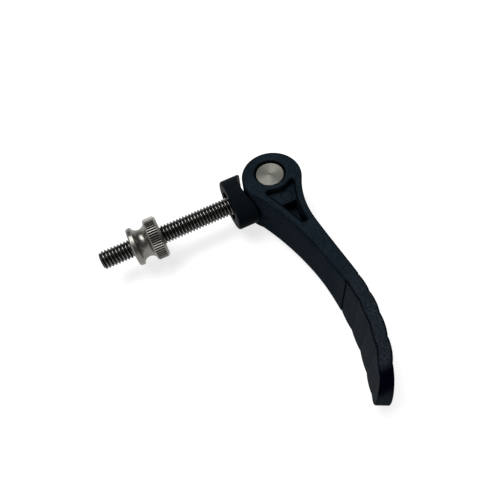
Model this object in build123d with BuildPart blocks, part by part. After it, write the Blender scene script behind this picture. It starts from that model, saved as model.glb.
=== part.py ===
from build123d import *
import os
from math import asin, atan2, cos, pi, radians, sin, sqrt

# Cam lever on a threaded stud: a forked plastic lever turns on a steel barrel pin, its eccentric
# cam pushes a contact plate along the stud, and a knurled nut on the stud takes the load.
# Frame: origin at the middle of the plate's clamping face, stud along X with its free end at -X,
# barrel pin along Z, lever closed and pointing along -Y.

# ---------------------------------------------------------------- driving sizes (mm)
# stud
stud_diameter = 4.0
stud_free_length = 29.0
stud_end_chamfer = 0.45
stud_in_pin = 1.9

# barrel pin
pin_diameter = 6.0
pin_length = 10.0
pin_edge_chamfer = 0.15

# cam and fork
cam_radius = 6.25
cam_offset = 0.9
fork_width = 10.9
slot_clearance = 0.25
pin_running_clearance = 0.06
pin_hole_chamfer = 0.28

# contact plate
plate_diameter = 11.1
plate_height = 4.7
plate_rim_radius = 0.5
plate_back_radius = 0.35
plate_shoulder_radius = 1.2
plate_recess_diameter = 6.4
plate_recess_depth = 1.5
plate_bore_clearance = 0.2
seat_depth = 1.5
seat_radius = 7.4
seat_gap = 0.55

# lever, side view
lever_length = 49.7
waist_start_angle = 30.0
waist_radius = 17.7
waist_turn = 33.0
cam_end_angle = 42.0
inner_radius = 61.5
back_start = 28.6
back_height = 4.05
grip_thickness = 3.15
grip_outer_radius = 42.9
grip_inner_radius = 38.0
grip_pitch = 4.38
grip_steps = 5
grip_step_depth = 0.24

# lever, plan view, lengths from the tip
grip_width = 14.9
tip_round_length = 9.0
grip_full_width_length = 13.5
flare_length = 28.0
tip_lean = 27.0
tip_set_back = 3.0
lever_edge_radius = 0.25

# pockets in the two cheeks
pocket_ring_width = 1.5
pocket_outer_wall = 1.55
pocket_inner_wall = 1.75
pocket_start_angle = 237.0
pocket_stop_angle = 312.0
pocket_end = 13.9
pocket_corner_radius = 0.28
pocket_depth = 1.25
pocket_step = 8.0
pocket_web = 3.6

# marks of the mould's ejectors: one in each shallow pocket floor, one in the inner face
pocket_mark_diameter = 2.4
pocket_mark_depth = 0.1
pocket_mark_place = (0.9, 6.05)
face_mark_diameter = 1.1
face_mark_depth = 0.15
face_mark_depth_below_pivot = 6.5

# knurled nut
nut_to_tip = 6.9
nut_flange_diameter = 8.3
nut_flange_height = 1.15
nut_neck_diameter = 6.1
nut_head_diameter = 9.1
nut_head_height = 2.75
nut_length = 6.6
nut_edge_chamfer = 0.3
nut_rim_bevel = 0.45
nut_bore_clearance = 0.05
knurl_count = 54
knurl_depth = 0.2

# ---------------------------------------------------------------- derived places
stud_radius = stud_diameter / 2
pin_radius = pin_diameter / 2
fork_half = fork_width / 2
grip_half = grip_width / 2
pivot_x = plate_height - seat_depth + seat_gap + cam_radius
slot_half = stud_radius + slot_clearance
hole_radius = pin_radius + pin_running_clearance
pocket_ring_radius = hole_radius + pocket_ring_width
cam_centre = Vector(pivot_x, -cam_offset)
nut_x = -stud_free_length + nut_to_tip


def on_cam(angle):
    """Point on the cam circle, at an angle from the +X direction."""
    return cam_centre + Vector(cos(radians(angle)), sin(radians(angle))) * cam_radius


# Start of the grip on the outer face and on the inner face.
outer_start = Vector(pivot_x + back_height, -back_start)
inner_start = Vector(pivot_x + back_height - grip_thickness, -back_start - grip_thickness / 4)
outer_centre = outer_start - Vector(grip_outer_radius, 0)
# the inner grip arc carries on tangent to the inner face
face_chord = inner_start - on_cam(180 + cam_end_angle)
lean = atan2(face_chord.Y, face_chord.X) + pi / 2 - asin(face_chord.length / 2 / inner_radius)
inner_centre = inner_start - Vector(cos(lean), sin(lean)) * grip_inner_radius


def outer_at(run, cut=0.0):
    """Point on the outer grip arc, a run past its start, cut below its surface."""
    turn = -run / grip_outer_radius
    return outer_centre + Vector(cos(turn), sin(turn)) * (grip_outer_radius - cut)


def inner_at(run, cut=0.0):
    """Point on the inner grip arc, a run past its start, cut below its surface."""
    turn = lean - run / grip_inner_radius
    return inner_centre + Vector(cos(turn), sin(turn)) * (grip_inner_radius + cut)


def arc_length_to(point_at, depth):
    """Run along a grip arc at which it reaches a depth below the pivot."""
    low, high = 0.0, 2 * lever_length
    for _ in range(60):
        middle = (low + high) / 2
        if point_at(middle).Y > -depth:
            low = middle
        else:
            high = middle
    return low


# The grip profile runs on past the tip, which the plan view then cuts.
outer_tip_run = arc_length_to(outer_at, lever_length + tip_set_back)
inner_tip_run = arc_length_to(inner_at, lever_length + tip_set_back)

# ---------------------------------------------------------------- stud
with BuildPart() as stud:
    with BuildSketch(Plane.YZ.offset(-stud_free_length)):
        Circle(stud_radius)
    extrude(amount=stud_free_length + pivot_x + stud_in_pin)
    chamfer(stud.faces().sort_by(Axis.X)[0].edges(), stud_end_chamfer)
stud.part.label = "stud"

# ---------------------------------------------------------------- barrel pin
with BuildPart() as pivot_pin:
    with BuildSketch(Plane((pivot_x, 0, -pin_length / 2))):
        Circle(pin_radius)
    extrude(amount=pin_length)
    chamfer(pivot_pin.edges().filter_by(GeomType.CIRCLE), pin_edge_chamfer)
    # cross hole for the stud, from the cam side to the end of the stud
    with BuildSketch(Plane.YZ.offset(pivot_x - pin_diameter)):
        Circle(stud_radius)
    extrude(amount=pin_diameter + stud_in_pin, mode=Mode.SUBTRACT)
pivot_pin.part.label = "pivot_pin"

# ---------------------------------------------------------------- lever
with BuildPart() as lever:
    # side view: cam, waist, back, outer grip, tip, inner grip, inner face
    with BuildSketch(Plane.XY.offset(-grip_half)) as side_view:
        with BuildLine() as side_outline:
            waist_angle = -waist_start_angle
            inner_angle = 180 + cam_end_angle
            cam_arc = ThreePointArc(on_cam(inner_angle), on_cam(90), on_cam(waist_angle))
            waist = JernArc(cam_arc @ 1, cam_arc % 1, waist_radius, waist_turn)
            Spline(waist @ 1, outer_start, tangents=(waist % 1, (0, -1)))
            inner_face = RadiusArc(cam_arc @ 0, inner_start, inner_radius)
            for point_at, last_run in ((outer_at, outer_tip_run), (inner_at, inner_tip_run)):
                ThreePointArc(*[point_at(share * last_run) for share in (0, 0.5, 1)])
            Line(outer_at(outer_tip_run), inner_at(inner_tip_run))
        make_face()
    extrude(amount=grip_width)

    # plan view, seen square to the tip: round tip, full width, taper to the parallel fork
    lean_in = radians(tip_lean)
    plan = Plane(
        origin=(pivot_x - tip_set_back, -lever_length, 0),
        x_dir=(sin(lean_in), cos(lean_in), 0),
        z_dir=(cos(lean_in), -sin(lean_in), 0),
    )
    with BuildSketch(plan.offset(-lever_length)) as plan_view:
        with BuildLine():
            tip = EllipticalCenterArc((tip_round_length, 0), tip_round_length, grip_half, start_angle=90, arc_size=90)
            side = Line(tip @ 0, (grip_full_width_length, grip_half))
            flare = Spline(side @ 1, (flare_length, fork_half), tangents=((1, 0), (1, 0)))
            fork_side = Line(flare @ 1, (2 * lever_length, fork_half))
            Polyline(fork_side @ 1, (2 * lever_length, 0), (0, 0))
        make_face()
        mirror(about=Plane.XZ)
    extrude(amount=2 * lever_length, mode=Mode.INTERSECT)

    # long edges of the moulding
    outline_edges = lever.edges().filter_by(Axis.Z, reverse=True)
    outline_edges = outline_edges.filter_by(Axis((0, 0, 0), plan.z_dir), reverse=True)
    fillet(outline_edges, lever_edge_radius)

    # steps of the grip: a row of shallow convex scallops on each face
    for point_at, last_run in ((outer_at, outer_tip_run), (inner_at, inner_tip_run)):
        with BuildSketch(Plane.XY.offset(-grip_half)) as scallops:
            with BuildLine():
                for step in range(grip_steps):
                    run = step * grip_pitch
                    end = run + grip_pitch if step < grip_steps - 1 else last_run
                    ThreePointArc(
                        point_at(run, grip_step_depth),
                        point_at((run + end) / 2, grip_step_depth / 10),
                        point_at(end, grip_step_depth),
                    )
                Line(point_at(last_run, grip_step_depth), point_at(last_run, -grip_thickness))
                ThreePointArc(*[point_at(share * last_run, -grip_thickness) for share in (1, 0.5, 0)])
                Line(point_at(0, -grip_thickness), point_at(0, grip_step_depth))
            make_face()
        extrude(amount=grip_width, mode=Mode.SUBTRACT)

    # fork slot: the stud swings in it from the -X side to the side away from the handle
    with BuildSketch() as slot:
        with BuildLine():
            Polyline(
                (pivot_x - 2 * cam_radius, -slot_half),
                (pivot_x + slot_half, -slot_half),
                (pivot_x + slot_half, 2 * cam_radius),
                (pivot_x - 2 * cam_radius, 2 * cam_radius),
                close=True,
            )
        make_face()
        fillet(slot.vertices().sort_by(Axis.Y)[0:2].sort_by(Axis.X)[-1], 0.8 * slot_half)
    extrude(amount=slot_half, both=True, mode=Mode.SUBTRACT)

    # hole for the barrel pin, with a small lead at both mouths
    with BuildSketch(Plane((pivot_x, 0, -fork_half))):
        Circle(hole_radius)
    extrude(amount=fork_width, mode=Mode.SUBTRACT)
    mouths = lever.edges().filter_by(GeomType.CIRCLE)
    mouths = mouths.filter_by(lambda e: abs(e.radius - hole_radius) < 0.001)
    mouths = mouths.filter_by(lambda e: abs(e.center().Z) > fork_half - 0.001)
    chamfer(mouths, pin_hole_chamfer)

    # pockets between the pin ring and the two walls, shallow first and deep past the step
    waist_centre = Vector(waist.arc_center.X, waist.arc_center.Y)
    inner_face_centre = Vector(inner_face.arc_center.X, inner_face.arc_center.Y)
    reach = 2 * pocket_end
    ray_a = Vector(cos(radians(pocket_start_angle)), sin(radians(pocket_start_angle))) * reach
    ray_b = Vector(cos(radians(pocket_stop_angle)), sin(radians(pocket_stop_angle))) * reach
    pivot = Vector(pivot_x, 0)
    for side in (1, -1):
        for top, floor, start in ((fork_half, fork_half - pocket_depth, 0), (fork_half, pocket_web / 2, pocket_step)):
            with BuildSketch(Plane.XY.offset(side * floor)) as pocket:
                with BuildLine():
                    Polyline(pivot, pivot + ray_a, pivot + ray_b, close=True)
                make_face()
                with Locations((pivot_x, -(start + pocket_end) / 2)):
                    Rectangle(4 * cam_radius, pocket_end - start, mode=Mode.INTERSECT)
                with Locations(pivot):
                    Circle(pocket_ring_radius, mode=Mode.SUBTRACT)
                with Locations(waist_centre):
                    Circle(waist_radius + pocket_outer_wall, mode=Mode.SUBTRACT)
                with Locations(inner_face_centre):
                    Circle(inner_radius + pocket_inner_wall, mode=Mode.SUBTRACT)
                corners = pocket.vertices() if start == 0 else pocket.vertices().sort_by(Axis.Y)[0:2]
                fillet(corners, pocket_corner_radius)
            extrude(amount=side * (top - floor), mode=Mode.SUBTRACT)
        with BuildSketch(Plane.XY.offset(side * (fork_half - pocket_depth - pocket_mark_depth))):
            with Locations((pivot_x + pocket_mark_place[0], -pocket_mark_place[1])):
                Circle(pocket_mark_diameter / 2)
        extrude(amount=side * pocket_mark_depth, mode=Mode.SUBTRACT)

    # ejector mark on the middle of the inner face
    mark_drop = -face_mark_depth_below_pivot - inner_face_centre.Y
    mark_x = inner_face_centre.X + sqrt(inner_radius**2 - mark_drop**2)
    mark_point = Vector(mark_x, -face_mark_depth_below_pivot)
    with BuildSketch(Plane(origin=mark_point, z_dir=mark_point - inner_face_centre)):
        Circle(face_mark_diameter / 2)
    extrude(amount=face_mark_depth, mode=Mode.SUBTRACT)
lever.part.label = "lever"

# ---------------------------------------------------------------- contact plate
plate_radius = plate_diameter / 2
seat_bottom = plate_height - seat_depth
with BuildPart() as contact_plate:
    with BuildSketch(Plane.YZ):
        Circle(plate_radius)
    extrude(amount=plate_height)
    fillet(contact_plate.faces().sort_by(Axis.X)[0].edges(), plate_rim_radius)
    # trough for the cam, across the plate along the pin
    with BuildSketch():
        with Locations((seat_bottom + seat_radius, 0)):
            Circle(seat_radius)
    extrude(amount=plate_diameter, both=True, mode=Mode.SUBTRACT)
    # the trough's two shoulders, then the rim that runs round over them
    fillet(contact_plate.edges().filter_by(Axis.Z).group_by(Axis.X)[-1], plate_shoulder_radius)
    rim = contact_plate.edges().filter_by(lambda e: e.center().X > plate_height / 2)
    rim = rim.filter_by(Axis.Z, reverse=True).filter_by(Axis.X, reverse=True)
    fillet(rim, plate_back_radius)
    # recess in the clamping face and bore for the stud
    with BuildSketch(Plane.YZ):
        Circle(plate_recess_diameter / 2)
    extrude(amount=plate_recess_depth, mode=Mode.SUBTRACT)
    with BuildSketch(Plane.YZ):
        Circle(stud_radius + plate_bore_clearance)
    extrude(amount=plate_height, mode=Mode.SUBTRACT)
contact_plate.part.label = "contact_plate"

# ---------------------------------------------------------------- knurled nut
flange_radius = nut_flange_diameter / 2
neck_radius = nut_neck_diameter / 2
head_radius = nut_head_diameter / 2
lip_radius = flange_radius - nut_edge_chamfer
head_x = nut_x + nut_length - nut_head_height
neck_start = nut_x + nut_flange_height
nut_bore = stud_radius + nut_bore_clearance
with BuildPart() as knurled_nut:
    with BuildSketch(Plane.XZ):
        with BuildLine():
            Polyline(
                (neck_start, lip_radius),
                (neck_start, flange_radius - nut_edge_chamfer / 2),
                (neck_start - nut_edge_chamfer / 2, flange_radius),
                (nut_x + nut_edge_chamfer, flange_radius),
                (nut_x, flange_radius - nut_edge_chamfer),
                (nut_x, 0),
                (nut_x + nut_length, 0),
                (nut_x + nut_length, head_radius - nut_rim_bevel),
                (nut_x + nut_length - nut_rim_bevel, head_radius),
                (head_x + nut_edge_chamfer, head_radius),
                (head_x, head_radius - nut_edge_chamfer),
                (head_x, lip_radius),
            )
            ThreePointArc((neck_start, lip_radius), ((neck_start + head_x) / 2, neck_radius), (head_x, lip_radius))
        make_face()
    revolve(axis=Axis.X)
    # straight knurl round the head, between its bevelled edges
    groove_half = 0.8 * head_radius * sin(pi / knurl_count)
    with BuildSketch(Plane.YZ.offset(head_x + nut_edge_chamfer)):
        with BuildLine():
            Polyline(
                (head_radius + knurl_depth, 2 * groove_half),
                (head_radius - knurl_depth, 0),
                (head_radius + knurl_depth, -2 * groove_half),
                close=True,
            )
        groove = make_face()
        with PolarLocations(0, knurl_count - 1, start_angle=360 / knurl_count, angular_range=360 - 360 / knurl_count):
            add(groove)
    extrude(amount=nut_head_height - nut_edge_chamfer - nut_rim_bevel, mode=Mode.SUBTRACT)
    with BuildSketch(Plane.YZ.offset(nut_x)):
        Circle(nut_bore)
    extrude(amount=nut_length, mode=Mode.SUBTRACT)
knurled_nut.part.label = "knurled_nut"

os.makedirs("parts", exist_ok=True)
for piece in (stud, pivot_pin, lever, contact_plate, knurled_nut):
    export_step(piece.part, "parts/" + piece.part.label + ".step")
    print(piece.part.label, piece.part.bounding_box(), round(piece.part.volume, 2))
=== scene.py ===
"""Looks of a quick-release cam lever: its materials, thread, floor, light and camera."""

import math

import bmesh
import bpy
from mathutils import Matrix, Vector


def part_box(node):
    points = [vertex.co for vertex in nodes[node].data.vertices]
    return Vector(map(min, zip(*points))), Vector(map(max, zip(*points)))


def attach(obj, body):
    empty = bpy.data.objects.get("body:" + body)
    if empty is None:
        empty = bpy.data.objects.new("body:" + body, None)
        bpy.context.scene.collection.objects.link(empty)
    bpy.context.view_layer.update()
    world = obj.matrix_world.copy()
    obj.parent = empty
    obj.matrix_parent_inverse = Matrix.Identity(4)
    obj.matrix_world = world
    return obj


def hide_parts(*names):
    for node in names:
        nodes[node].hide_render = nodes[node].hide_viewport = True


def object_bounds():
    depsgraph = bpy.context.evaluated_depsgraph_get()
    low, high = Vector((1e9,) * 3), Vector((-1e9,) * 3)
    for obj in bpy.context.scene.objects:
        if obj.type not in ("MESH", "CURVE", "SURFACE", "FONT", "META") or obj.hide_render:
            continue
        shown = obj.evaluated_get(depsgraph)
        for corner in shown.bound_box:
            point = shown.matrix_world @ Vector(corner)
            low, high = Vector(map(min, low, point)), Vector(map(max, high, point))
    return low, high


MM = 0.001
ORIGIN = (0.0, 0.0, 0.0)
WHITE = (1.0, 1.0, 1.0)

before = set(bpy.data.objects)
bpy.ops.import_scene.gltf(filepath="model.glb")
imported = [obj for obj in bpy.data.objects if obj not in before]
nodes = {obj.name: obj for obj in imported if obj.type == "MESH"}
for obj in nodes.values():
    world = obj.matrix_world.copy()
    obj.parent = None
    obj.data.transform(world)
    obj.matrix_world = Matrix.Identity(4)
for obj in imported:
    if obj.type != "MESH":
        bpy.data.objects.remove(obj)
cad_low, cad_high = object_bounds()


# ---------------------------------------------------------------- shader nodes
def new_material(name):
    """New material with a Principled shader on its output, as material, node tree and shader."""
    material = bpy.data.materials.new(name)
    material.use_nodes = True
    tree = material.node_tree
    tree.nodes.clear()
    output = tree.nodes.new("ShaderNodeOutputMaterial")
    shader = tree.nodes.new("ShaderNodeBsdfPrincipled")
    tree.links.new(shader.outputs["BSDF"], output.inputs["Surface"])
    return material, tree, shader


def feed(tree, socket, value):
    """Link a socket to a node's output, or set it to a plain number or vector."""
    if isinstance(value, bpy.types.NodeSocket):
        tree.links.new(value, socket)
    else:
        socket.default_value = value


def texture_coordinate(tree, kind):
    """Texture coordinates: Object in metres, Normal in the object's axes, Generated for the sky."""
    return tree.nodes.new("ShaderNodeTexCoord").outputs[kind]


def coordinate(tree, point, axis):
    """One coordinate of a point or vector, by the letter of its axis."""
    parts = tree.nodes.new("ShaderNodeSeparateXYZ")
    tree.links.new(point, parts.inputs["Vector"])
    return parts.outputs[axis]


def noise(tree, point, scale, detail=2.0, roughness=0.5):
    """Noise over a point, from 0 to 1. The scale is in cells per metre."""
    node = tree.nodes.new("ShaderNodeTexNoise")
    node.inputs["Scale"].default_value = scale
    node.inputs["Detail"].default_value = detail
    node.inputs["Roughness"].default_value = roughness
    tree.links.new(point, node.inputs["Vector"])
    return node.outputs["Fac"]


def maths(tree, operation, first, second=0.0):
    """Maths on sockets or plain numbers."""
    node = tree.nodes.new("ShaderNodeMath")
    node.operation = operation
    feed(tree, node.inputs[0], first)
    feed(tree, node.inputs[1], second)
    return node.outputs["Value"]


def product(tree, first, *others):
    """Product of sockets or plain numbers."""
    for other in others:
        first = maths(tree, "MULTIPLY", first, other)
    return first


def inverse(tree, value):
    """1 minus a value."""
    return maths(tree, "SUBTRACT", 1.0, value)


def weighted(tree, first, share, second):
    """A share of the first value and the rest of the second."""
    return maths(tree, "ADD", product(tree, first, share), product(tree, second, 1.0 - share))


def remap(tree, value, low, high):
    """A 0 to 1 value stretched to run from low to high."""
    return maths(tree, "ADD", product(tree, value, high - low), low)


def spread(tree, value, low, high):
    """Smooth step of a value: 0 at low, 1 at high."""
    node = tree.nodes.new("ShaderNodeMapRange")
    node.interpolation_type = "SMOOTHSTEP"
    node.inputs["From Min"].default_value = low
    node.inputs["From Max"].default_value = high
    tree.links.new(value, node.inputs["Value"])
    return node.outputs["Result"]


def ramp(tree, value, stops):
    """Colour ramp over a value. stops are (position, colour)."""
    node = tree.nodes.new("ShaderNodeValToRGB")
    elements = node.color_ramp.elements
    while len(elements) < len(stops):
        elements.new(0.5)
    for element, (position, colour) in zip(elements, stops):
        element.position = position
        element.color = (*colour, 1.0)
    tree.links.new(value, node.inputs["Fac"])
    return node.outputs["Color"]


def mixed(tree, factor, first, second):
    """First colour where the factor is 0, second where it is 1."""
    node = tree.nodes.new("ShaderNodeMix")
    node.data_type = "RGBA"
    tree.links.new(factor, node.inputs["Factor"])
    for socket, colour in ((node.inputs["A"], first), (node.inputs["B"], second)):
        feed(tree, socket, (*colour, 1.0) if isinstance(colour, tuple) else colour)
    return node.outputs["Result"]


def bump(tree, height, distance):
    """Normal of a bumped surface. The distance is in metres."""
    node = tree.nodes.new("ShaderNodeBump")
    node.inputs["Strength"].default_value = 1.0
    node.inputs["Distance"].default_value = distance
    tree.links.new(height, node.inputs["Height"])
    return node.outputs["Normal"]


def room(tree, reach, samples, inside=False):
    """Share of open space within reach of the surface, in front of it or inside the solid."""
    node = tree.nodes.new("ShaderNodeAmbientOcclusion")
    node.inside = inside
    node.samples = samples
    node.inputs["Distance"].default_value = reach
    return node.outputs["AO"]


def facing(tree, axis, low, high):
    """0 to 1 as a surface turns to face along an axis of its own object, either way."""
    turn = coordinate(tree, texture_coordinate(tree, "Normal"), axis)
    return spread(tree, maths(tree, "ABSOLUTE", turn), low, high)


def vector_maths(tree, operation, *values):
    """Vector maths node on sockets or plain vectors."""
    node = tree.nodes.new("ShaderNodeVectorMath")
    node.operation = operation
    for socket, value in zip(node.inputs, values):
        feed(tree, socket, value)
    return node


def from_axis(tree, point, centre, axis):
    """Distance of a point from the line through centre along an axis, and its offset from it."""
    across = [0.0 if letter == axis else 1.0 for letter in "XYZ"]
    offset = vector_maths(tree, "SUBTRACT", point, centre).outputs["Vector"]
    flat = vector_maths(tree, "MULTIPLY", offset, across).outputs["Vector"]
    return vector_maths(tree, "LENGTH", flat).outputs["Value"], flat


def shade(colour, share):
    """A share of a colour."""
    return tuple(share * channel for channel in colour)


# ---------------------------------------------------------------- plastic
GRAIN_DETAIL = (3.0, 0.65)       # detail and roughness of the grain's noise
PLASTIC_CLOUD = 180.0            # scale of the broad cloud under the grain
GRAIN_SHARE = 0.75               # share of the grain in the speckle, the rest is cloud
SPECKLE_RANGE = (0.38, 0.64)     # speckle that takes the dark and the light colour
GRAIN_ROUGHNESS = (-0.08, 0.12)  # change of roughness from the grain's pits to its peaks

# painted shade on sheltered floors and corners, by the open space in front of them
SHELTER_SAMPLES = 8
SHELTER_ROOM = (0.12, 0.66)      # room in front of a sheltered floor and of an open face
SHELTER_PAINTED_SHADE = 0.2              # painted shade of a sheltered floor; this and the other shades are shares of the dark colour

CHEEK_TURN = (0.3, 0.6)          # how far a surface turns to Z before it counts as flat side

# pale specks of wear on the flat sides, and an even painted sheen on the grip faces
SCUFF_SCALE = 1.5                # of the grain's scale
SCUFF_RANGE = (0.45, 0.75)       # noise between which a speck starts and is full
SCUFF_AND_SHEEN_COLOUR = (0.034, 0.035, 0.038)
GRIP_PAINTED_SHEEN = 0.28               # painted sheen: an even paling of the grip faces, which have no speckle

# painted shade: a dark line along sharp edges
EDGE_SAMPLES = 12
EDGE_ROOM = (0.72, 0.94)         # room inside the solid at a sharp edge and under a flat face
EDGE_ON_FACES = 0.5              # strength of the painted dark line of shade on the faces, 1 on the flat sides
EDGE_PAINTED_SHADE = 0.25

# painted shade on the flat sides near the tip
TIP_PAINTED_SHADE = 0.12
TIP_SHADE_BLUE = 0.28                 # the painted shade near the tip keeps more of its blue
# painted shade in the mouth of the pivot hole
HOLE_PAINTED_SHADE = 0.12


def plastic(name, dark, light, roughness, gloss, grain_scale, grain_depth, shade_reach,
            tip_shade=None, edge=None, scuff_and_sheen_reach=None, hole_shade=None):
    """Black moulded plastic with a spark-eroded grain.

    shade_reach is the reach within which sheltered floors and corners get painted shade, blacker
    than open faces. tip_shade is (start, full, last full, end) in y of a darker smooth patch of
    painted shade on the flat sides. edge is the width of the smooth painted dark line of shade
    along sharp edges, full on the flat sides and fainter on the faces. scuff_and_sheen_reach is
    (start, full) in y of the stretch with pale specks of wear on the flat sides and an even painted
    sheen on the grip faces. hole_shade is (centre, inner radius, outer radius) of painted shade in
    the mouth of a hole along Z.
    """
    material, tree, shader = new_material(name)
    point = texture_coordinate(tree, "Object")
    grain = noise(tree, point, grain_scale, *GRAIN_DETAIL)
    speckle = weighted(tree, grain, GRAIN_SHARE, noise(tree, point, PLASTIC_CLOUD))
    colour = ramp(tree, speckle, tuple(zip(SPECKLE_RANGE, (dark, light))))
    # painted shade on sheltered floors and corners
    open_air = spread(tree, room(tree, shade_reach, SHELTER_SAMPLES), *SHELTER_ROOM)
    colour = mixed(tree, open_air, shade(dark, SHELTER_PAINTED_SHADE), colour)
    # pale specks of wear on the flat sides, and an even painted sheen on the grip faces
    if scuff_and_sheen_reach:
        reach = spread(tree, coordinate(tree, point, "Y"), *scuff_and_sheen_reach)
        cheek = facing(tree, "Z", *CHEEK_TURN)
        specks = spread(tree, noise(tree, point, SCUFF_SCALE * grain_scale), *SCUFF_RANGE)
        painted_sheen = remap(tree, cheek, GRIP_PAINTED_SHEEN, 0.0)
        scuffs_and_sheen = maths(tree, "MAXIMUM", product(tree, specks, cheek), painted_sheen)
        colour = mixed(tree, product(tree, reach, scuffs_and_sheen), colour, SCUFF_AND_SHEEN_COLOUR)
    # painted shade: a dark line along sharp edges
    if edge:
        sharp = inverse(tree, spread(tree, room(tree, edge, EDGE_SAMPLES, inside=True), *EDGE_ROOM))
        side = remap(tree, facing(tree, "Z", *CHEEK_TURN), EDGE_ON_FACES, 1.0)
        colour = mixed(tree, product(tree, sharp, side), colour, shade(dark, EDGE_PAINTED_SHADE))
    # painted shade: a darker patch on the flat sides near the tip
    if tip_shade:
        start, full, last_full, end = tip_shade
        height = coordinate(tree, point, "Y")
        patch = product(
            tree, spread(tree, height, start, full), spread(tree, height, end, last_full),
            facing(tree, "Z", *CHEEK_TURN),
        )
        tip_shade_colour = (*shade(dark[:2], TIP_PAINTED_SHADE), TIP_SHADE_BLUE * dark[2])
        colour = mixed(tree, patch, colour, tip_shade_colour)
    # painted shade in the mouth of the hole
    if hole_shade:
        centre, inner, outer = hole_shade
        radius, _ = from_axis(tree, point, centre, "Z")
        outside = spread(tree, radius, inner, outer)
        colour = mixed(tree, outside, shade(dark, HOLE_PAINTED_SHADE), colour)
    tree.links.new(colour, shader.inputs["Base Color"])
    rough = remap(tree, grain, *(roughness + change for change in GRAIN_ROUGHNESS))
    tree.links.new(rough, shader.inputs["Roughness"])
    shader.inputs["Specular IOR Level"].default_value = gloss
    tree.links.new(bump(tree, grain, grain_depth), shader.inputs["Normal"])
    return material


# ---------------------------------------------------------------- steel
MARK_DETAIL = (3.0, 0.6)         # detail and roughness of the noise of the tool marks
STEEL_CLOUD = 300.0              # scale of the cloud of wear
MARK_SHARE = 0.5                 # share of the marks in the colour, the rest is cloud
WEAR_RANGE = (0.3, 0.7)          # blend that takes the dark and the light colour
MARK_ROUGHNESS = (-0.07, 0.1)    # change of roughness that the marks make
SHADE_ROUGHNESS = 0.2            # what the painted shade round the axis adds to the roughness

FLUTE_CUT = 0.09 * MM            # below the groove floors by this much the head gets no painted shade
END_FACE_TURN = (0.2, 0.4)       # how far a surface turns to the axis before it is an end face

RING_PITCH = 0.11 * MM           # turning marks on a faced end
RING_HEIGHT = 0.3                # of the height of the other marks
TURNED_SHEEN = 0.35              # anisotropy, stretched along the radius
CENTRE_DOT = (0.16 * MM, 0.3 * MM)  # radii between which the dark dot fades out
CENTRE_SHADE = 0.45


def steel(name, dark, light, roughness, mark_scale, squeeze, mark_depth, axis="X",
          axis_shade=None, flutes=None, turned=None):
    """Machined steel: fine marks that run round an axis, and a faint cloud of wear.

    squeeze is how many times finer the marks are along the axis than across it. axis_shade is
    (inner radius, outer radius, colour) of painted shade round the stud's axis, in the grooves of
    the thread and in the nut's hole, full inside the inner radius and gone outside the outer one.
    flutes is (radius of the groove floors, outer radius, colour) of painted shade in the grooves of
    a knurl. turned is the centre of a faced end, whose rings make the light glint in a fan.
    """
    material, tree, shader = new_material(name)
    point = texture_coordinate(tree, "Object")
    mapping = tree.nodes.new("ShaderNodeMapping")
    mapping.inputs["Scale"].default_value = [
        mark_scale * (squeeze if letter == axis else 1.0) for letter in "XYZ"
    ]
    tree.links.new(point, mapping.inputs["Vector"])
    marks = noise(tree, mapping.outputs["Vector"], 1.0, *MARK_DETAIL)
    wear = weighted(tree, marks, MARK_SHARE, noise(tree, point, STEEL_CLOUD))
    colour = ramp(tree, wear, tuple(zip(WEAR_RANGE, (dark, light))))
    rough = remap(tree, marks, *(roughness + change for change in MARK_ROUGHNESS))
    height = marks
    # painted shade round the axis
    if axis_shade:
        inner, outer, shade_colour = axis_shade
        radius, _ = from_axis(tree, point, ORIGIN, axis)
        unshaded = spread(tree, radius, inner, outer)
        colour = mixed(tree, unshaded, shade_colour, colour)
        rough = maths(tree, "ADD", rough, product(tree, inverse(tree, unshaded), SHADE_ROUGHNESS))
    # painted shade in the grooves of the knurl
    if flutes:
        floor_radius, outer, shade_colour = flutes
        radius, _ = from_axis(tree, point, ORIGIN, axis)
        groove_shade_mask = product(
            tree, inverse(tree, spread(tree, radius, floor_radius, outer)),
            maths(tree, "GREATER_THAN", radius, floor_radius - FLUTE_CUT),
            inverse(tree, facing(tree, axis, *END_FACE_TURN)),
        )
        colour = mixed(tree, groove_shade_mask, colour, shade_colour)
    if turned:
        radius, outward = from_axis(tree, point, turned, axis)
        tree.links.new(outward, shader.inputs["Tangent"])
        shader.inputs["Anisotropic"].default_value = TURNED_SHEEN
        rings = maths(tree, "SINE", product(tree, radius, 2 * math.pi / RING_PITCH))
        height = maths(tree, "ADD", marks, product(tree, rings, RING_HEIGHT))
        outside = spread(tree, radius, *CENTRE_DOT)
        colour = mixed(tree, outside, shade(dark, CENTRE_SHADE), colour)
    tree.links.new(colour, shader.inputs["Base Color"])
    tree.links.new(rough, shader.inputs["Roughness"])
    shader.inputs["Metallic"].default_value = 1.0
    tree.links.new(bump(tree, height, mark_depth), shader.inputs["Normal"])
    return material


# ---------------------------------------------------------------- materials of the pieces
pin_low, pin_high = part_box("pivot_pin")
nut_low, nut_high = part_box("knurled_nut")
lever_low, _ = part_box("lever")
stud_low, stud_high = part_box("stud")
pin_centre = [(low + high) / 2 for low, high in zip(pin_low, pin_high)]
pin_radius = (pin_high.x - pin_low.x) / 2
head_radius = (nut_high.z - nut_low.z) / 2
stud_radius = (stud_high.z - stud_low.z) / 2


def above_tip(height):
    """Place along y, by its millimetres above the tip of the lever."""
    return lever_low.y + height * MM


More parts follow.
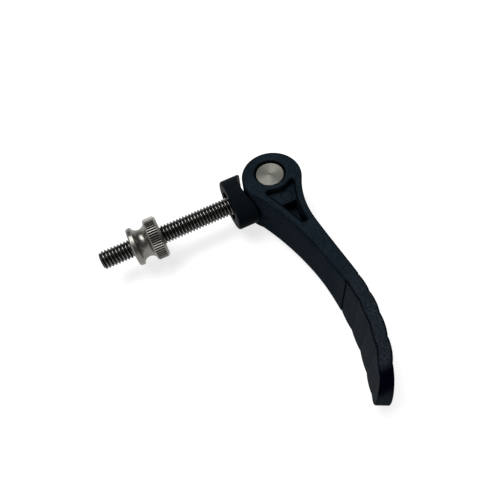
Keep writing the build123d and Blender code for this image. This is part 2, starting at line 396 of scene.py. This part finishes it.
# the lever's colour has painted shade in its hollows, along its edges, near its tip and in the
# pivot hole, and a painted sheen on its grip faces
lever_plastic = plastic(
    "lever_plastic", dark=(0.0048, 0.009, 0.0132), light=(0.0145, 0.0218, 0.0285),
    roughness=0.62, gloss=0.003, grain_scale=3200.0, grain_depth=0.05 * MM, shade_reach=3.0 * MM,
    tip_shade=(above_tip(5.6), above_tip(3.8), above_tip(2.1), above_tip(0.3)), edge=0.55 * MM,
    scuff_and_sheen_reach=(above_tip(26.0), above_tip(16.0)),
    hole_shade=(pin_centre, pin_radius + 0.2 * MM, pin_radius + 0.34 * MM),
)
# the plate's colour has painted shade in its hollows
plate_plastic = plastic(
    "plate_plastic", dark=(0.0035, 0.0055, 0.0078), light=(0.0072, 0.0102, 0.013),
    roughness=0.4, gloss=0.004, grain_scale=2600.0, grain_depth=0.02 * MM, shade_reach=2.0 * MM,
)
pin_steel = steel(
    "pin_steel", dark=(0.23, 0.228, 0.202), light=(0.29, 0.286, 0.254), roughness=0.32,
    mark_scale=90.0, squeeze=1.0, mark_depth=0.002 * MM, axis="Z", turned=pin_centre,
)
# the thread's colour has painted shade in its grooves, below the crests
thread_steel = steel(
    "thread_steel", dark=(0.13, 0.128, 0.122), light=(0.2, 0.197, 0.188), roughness=0.15,
    mark_scale=90.0, squeeze=40.0, mark_depth=0.002 * MM,
    axis_shade=(stud_radius - 0.15 * MM, stud_radius, (0.036, 0.035, 0.033)),
)
# the nut's colour has painted shade in its hole and in the grooves of its knurl
nut_steel = steel(
    "nut_steel", dark=(0.155, 0.15, 0.136), light=(0.215, 0.208, 0.189), roughness=0.32,
    mark_scale=60.0, squeeze=100.0, mark_depth=0.0015 * MM,
    axis_shade=(stud_radius + 0.1 * MM, stud_radius + 0.5 * MM, (0.05, 0.048, 0.044)),
    flutes=(head_radius - 0.14 * MM, head_radius, (0.018, 0.017, 0.015)),
)

for node_name, material in (
    ("lever", lever_plastic),
    ("contact_plate", plate_plastic),
    ("pivot_pin", pin_steel),
    ("knurled_nut", nut_steel),
):
    nodes[node_name].data.materials.clear()
    nodes[node_name].data.materials.append(material)

# ---------------------------------------------------------------- threaded stud
PITCH = 0.7 * MM
THREAD_DEPTH = 0.57 * PITCH
END_CHAMFER = 0.45 * MM
SEGMENTS = 56                    # round one turn
TURNS_BEFORE = 2                 # turns before the rod's low end, which the end cuts take off
SPARE_TURNS = 3                  # turns more than the rod's length needs, those two among them
CREASE = math.radians(38)        # edges that bend more than this stay sharp
MERGE = 1e-4 * PITCH
CUT = 1e-8                       # metres within which the end cuts snap to a vertex
ON_END = 1e-7                    # metres within which a vertex lies on an end plane
# from the middle of a crest to the middle of a root, as (share of the pitch, share of the depth)
CREST_TO_ROOT = ((0.08, 0.0), (0.14, 0.07), (0.2, 0.24), (0.36, 0.8), (0.42, 0.96), (0.47, 1.0))
PROFILE = CREST_TO_ROOT + tuple((1.0 - share, drop) for share, drop in reversed(CREST_TO_ROOT))


def add_object(name, data):
    """New object in the scene."""
    added = bpy.data.objects.new(name, data)
    bpy.context.scene.collection.objects.link(added)
    return added


def thread_ring(mesh, low_x, radius, turn, drop):
    """One turn of the helix at one depth of the profile, starting a number of turns past low_x."""
    ring = []
    for segment in range(SEGMENTS + 1):
        angle = 2 * math.pi * segment / SEGMENTS
        x = low_x + (turn + segment / SEGMENTS) * PITCH
        # the cone of the chamfer, which stops short of the axis beyond the rod's end
        cone = radius - END_CHAMFER + max(x - low_x, -END_CHAMFER / 2)
        r = min(radius - THREAD_DEPTH * drop, cone)
        ring.append(mesh.verts.new((x, r * math.cos(angle), r * math.sin(angle))))
    return ring


def threaded_stud(name, low_x, high_x, radius):
    """Rod along X with a right-hand thread over its whole length, chamfered at its low end."""
    mesh = bmesh.new()
    turns = math.ceil((high_x - low_x) / PITCH) + SPARE_TURNS
    rings = [
        thread_ring(mesh, low_x, radius, turn - TURNS_BEFORE + share, drop)
        for turn in range(turns) for share, drop in PROFILE
    ]
    for ring, following in zip(rings, rings[1:]):
        for i in range(SEGMENTS):
            mesh.faces.new((ring[i], ring[i + 1], following[i + 1], following[i]))
    bmesh.ops.remove_doubles(mesh, verts=mesh.verts, dist=MERGE)
    for x, outward in ((low_x, (-1, 0, 0)), (high_x, (1, 0, 0))):
        bmesh.ops.bisect_plane(
            mesh, geom=mesh.verts[:] + mesh.edges[:] + mesh.faces[:],
            plane_co=(x, 0, 0), plane_no=outward, clear_outer=True, dist=CUT,
        )
        rim = [
            edge for edge in mesh.edges
            if edge.is_boundary and all(abs(vert.co.x - x) < ON_END for vert in edge.verts)
        ]
        bmesh.ops.edgeloop_fill(mesh, edges=rim)
    bmesh.ops.recalc_face_normals(mesh, faces=mesh.faces)
    data = bpy.data.meshes.new(name)
    mesh.to_mesh(data)
    mesh.free()
    data.shade_smooth()
    data.set_sharp_from_angle(angle=CREASE)
    return add_object(name, data)


thread = threaded_stud("stud_thread", stud_low.x, stud_high.x, stud_radius)
thread.data.materials.append(thread_steel)
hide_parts("stud")
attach(thread, "stud")

# ---------------------------------------------------------------- floor
FLOOR_SIZE = 8.0
FLOOR_GAP = 0.02 * MM            # under the lowest point of the object
FLOOR_GREY = 0.42                # what the floor sends back onto the object
LAMP_FADE = (0.3, 1.7)           # metres from the object over which the lamp's pool fades
FLOOR_WHITE = (0.74, 1.0)        # own white of the floor, in the lamp's pool and beyond it


def sees_backdrop(tree):
    """1 for camera, glossy and transmission rays, which see a white floor, and 0 for diffuse."""
    path = tree.nodes.new("ShaderNodeLightPath")
    either = maths(tree, "MAXIMUM", path.outputs["Is Camera Ray"], path.outputs["Is Glossy Ray"])
    return maths(tree, "MAXIMUM", either, path.outputs["Is Transmission Ray"])


bpy.ops.mesh.primitive_plane_add(size=FLOOR_SIZE, location=(0, 0, cad_low.z - FLOOR_GAP))
floor = bpy.context.object
floor.name = "floor"
floor_material, floor_tree, floor_shader = new_material("floor_white")
floor_shader.inputs["Base Color"].default_value = (FLOOR_GREY, FLOOR_GREY, FLOOR_GREY, 1.0)
floor_shader.inputs["Roughness"].default_value = 1.0
floor_shader.inputs["Specular IOR Level"].default_value = 0.0
floor_shader.inputs["Emission Color"].default_value = (*WHITE, 1.0)
floor_point = texture_coordinate(floor_tree, "Object")
distance, _ = from_axis(floor_tree, floor_point, ORIGIN, "Z")
own_white = remap(floor_tree, spread(floor_tree, distance, *LAMP_FADE), *FLOOR_WHITE)
own_white = product(floor_tree, sees_backdrop(floor_tree), own_white)
floor_tree.links.new(own_white, floor_shader.inputs["Emission Strength"])
floor.data.materials.append(floor_material)

# ---------------------------------------------------------------- sky, the same for every ray
# (height of the direction, colour): white at the horizon, dim above it, a little lighter overhead
SKY_BANDS = (
    (0.2, WHITE),
    (0.36, (0.09, 0.094, 0.1)),
    (0.65, (0.13, 0.134, 0.14)),
    (1.0, (0.21, 0.213, 0.22)),
)

world = bpy.data.worlds.new("studio")
bpy.context.scene.world = world
world.use_nodes = True
sky = world.node_tree
sky_height = coordinate(sky, texture_coordinate(sky, "Generated"), "Z")
background = sky.nodes["Background"]
sky.links.new(ramp(sky, sky_height, SKY_BANDS), background.inputs["Color"])
background.inputs["Strength"].default_value = 1.0

# ---------------------------------------------------------------- key lamp and camera
KEY_PLACE = Vector((-290, 308, 1425)) * MM
KEY_TARGET = Vector((0, -12, 0)) * MM
KEY_SIZE = (1100 * MM, 750 * MM)
KEY_WATTS = 20.0

key_light = bpy.data.lights.new("key", "AREA")
key_light.shape = "RECTANGLE"
key_light.size, key_light.size_y = KEY_SIZE
key_light.energy = KEY_WATTS
key = add_object("key", key_light)
key.location = KEY_PLACE
key.rotation_mode = "QUATERNION"
key.rotation_quaternion = (KEY_TARGET - KEY_PLACE).to_track_quat("-Z", "Y")

CAMERA_PLACE = Vector((-14.24, -60.61, 88.66)) * MM
CAMERA_TURN = (29.33, 5.11, -24.72)  # degrees, as Euler angles XYZ
SENSOR_WIDTH, LENS = 36.0, 36.14     # millimetres
CLIP = (0.001, 10.0)

camera_data = bpy.data.cameras.new("camera")
camera_data.sensor_width = SENSOR_WIDTH
camera_data.lens = LENS
camera_data.clip_start, camera_data.clip_end = CLIP
camera = add_object("camera", camera_data)
camera.location = CAMERA_PLACE
camera.rotation_euler = [math.radians(angle) for angle in CAMERA_TURN]
bpy.context.scene.camera = camera
bpy.context.scene.view_settings.view_transform = "Standard"

bpy.context.view_layer.update()
